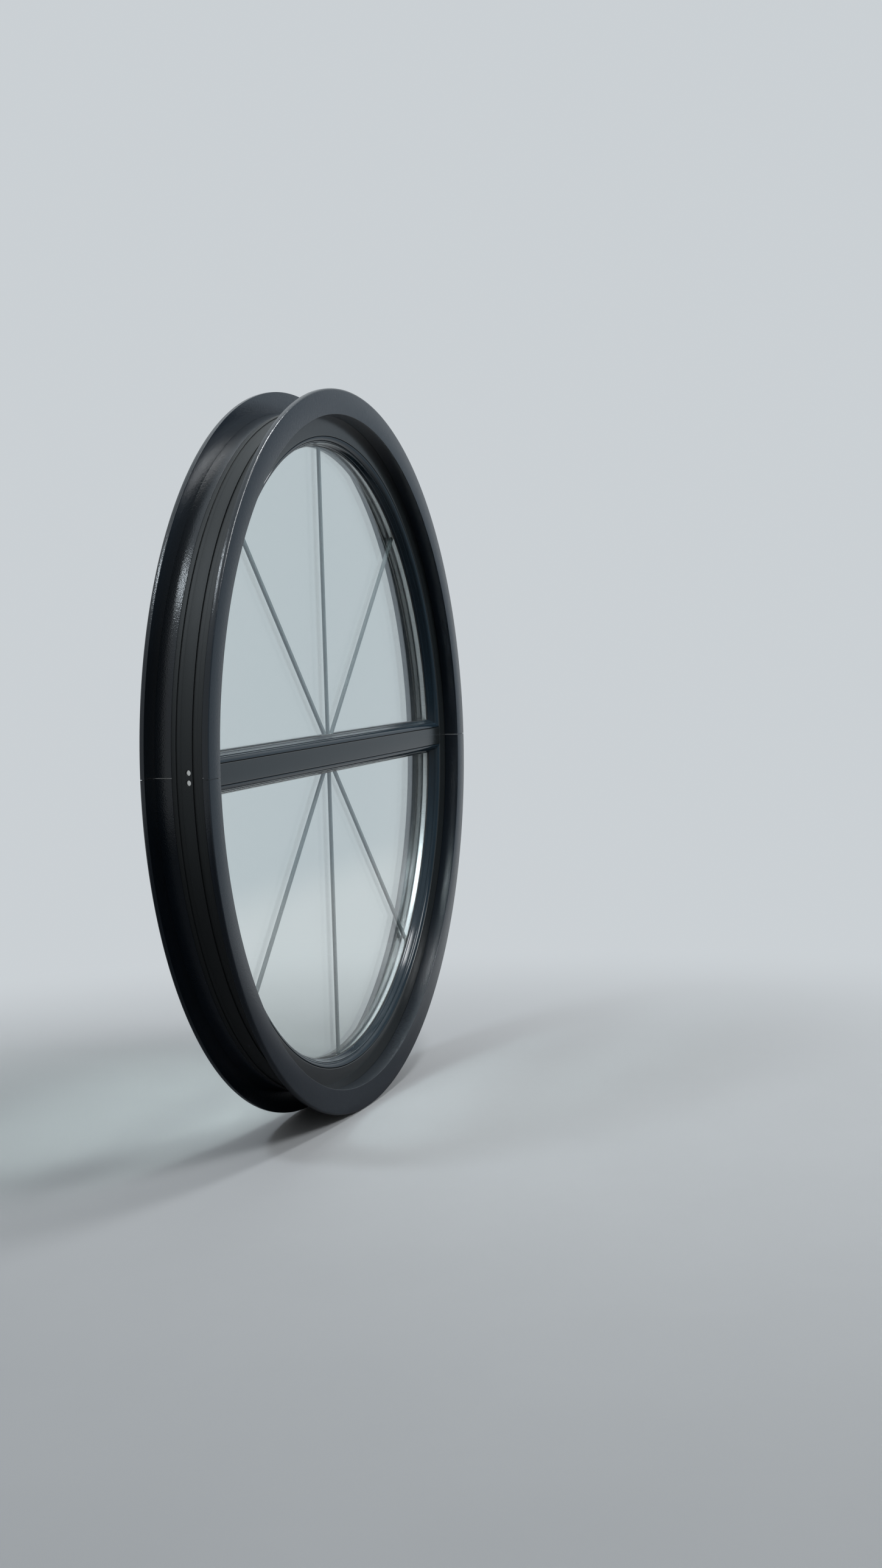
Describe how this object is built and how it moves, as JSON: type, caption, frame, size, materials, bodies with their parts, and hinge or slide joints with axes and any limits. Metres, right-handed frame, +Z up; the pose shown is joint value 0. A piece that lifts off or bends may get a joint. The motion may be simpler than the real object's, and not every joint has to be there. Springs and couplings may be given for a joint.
{
  "type": "round window",
  "caption": "Round fixed window with a level transom, half-round double-glazed units, slim bars between the panes and ring casings for both sides of the wall.",
  "frame": {"origin": "centre of the circle, halfway between the room-side and the outdoor faces of the casings", "axes": "+X to the right seen from the room, +Y outdoors along the window's axis, +Z up, square to the transom"},
  "size_m": [1.5, 0.134, 1.4996],
  "materials": {
    "frame_foil": "anthracite foil on PVC, semi-matt, fine grain",
    "casing_foil": "anthracite foil on PVC, semi-matt, fine grain",
    "bead_foil": "anthracite foil on PVC, semi-matt, fine grain",
    "gasket_rubber": "black, matt",
    "clear_glass": "clear float glass, slightly green at the edges",
    "spacer_aluminium": "bright mill finish with fine crimp marks",
    "edge_sealant": "dark sealant",
    "bar_paint": "satin grey",
    "white_plastic": "moulded, semi-matt",
    "block_plastic": "moulded, semi-matt",
    "galvanised_steel": "zinc coated",
    "zinc_casting": "plain cast",
    "screw_steel": "zinc coated",
    "cap_plastic": "moulded anthracite, semi-matt"
  },
  "bodies": {
    "root": {"arch_drain_caps": "cap_plastic", "frame_lower_arch": "frame_foil", "frame_upper_arch": "frame_foil", "inner_casing_lower": "casing_foil", "inner_casing_upper": "casing_foil", "inner_liner_lower": "casing_foil", "inner_liner_upper": "casing_foil", "lower_bar_left": "bar_paint", "lower_bar_plugs": "white_plastic", "lower_bar_right": "bar_paint", "lower_bar_upright": "bar_paint", "lower_curved_bead": "bead_foil", "lower_edge_seal": "edge_sealant", "lower_inner_gasket": "gasket_rubber", "lower_inner_pane": "clear_glass", "lower_location_blocks": "block_plastic", "lower_outer_gasket": "gasket_rubber", "lower_outer_pane": "clear_glass", "lower_setting_blocks": "block_plastic", "lower_spacer": "spacer_aluminium", "lower_straight_bead": "bead_foil", "outer_casing_lower": "casing_foil", "outer_casing_upper": "casing_foil", "outer_liner_lower": "casing_foil", "outer_liner_upper": "casing_foil", "transom": "frame_foil", "transom_connector_left": "zinc_casting", "transom_connector_right": "zinc_casting", "transom_drain_caps": "cap_plastic", "transom_frame_screws": "screw_steel", "transom_stiffener": "galvanised_steel", "transom_stiffener_screws": "screw_steel", "upper_bar_left": "bar_paint", "upper_bar_plugs": "white_plastic", "upper_bar_right": "bar_paint", "upper_bar_upright": "bar_paint", "upper_curved_bead": "bead_foil", "upper_edge_seal": "edge_sealant", "upper_inner_gasket": "gasket_rubber", "upper_inner_pane": "clear_glass", "upper_location_blocks": "block_plastic", "upper_outer_gasket": "gasket_rubber", "upper_outer_pane": "clear_glass", "upper_setting_blocks": "block_plastic", "upper_spacer": "spacer_aluminium", "upper_straight_bead": "bead_foil"}
  },
  "joints": []
}
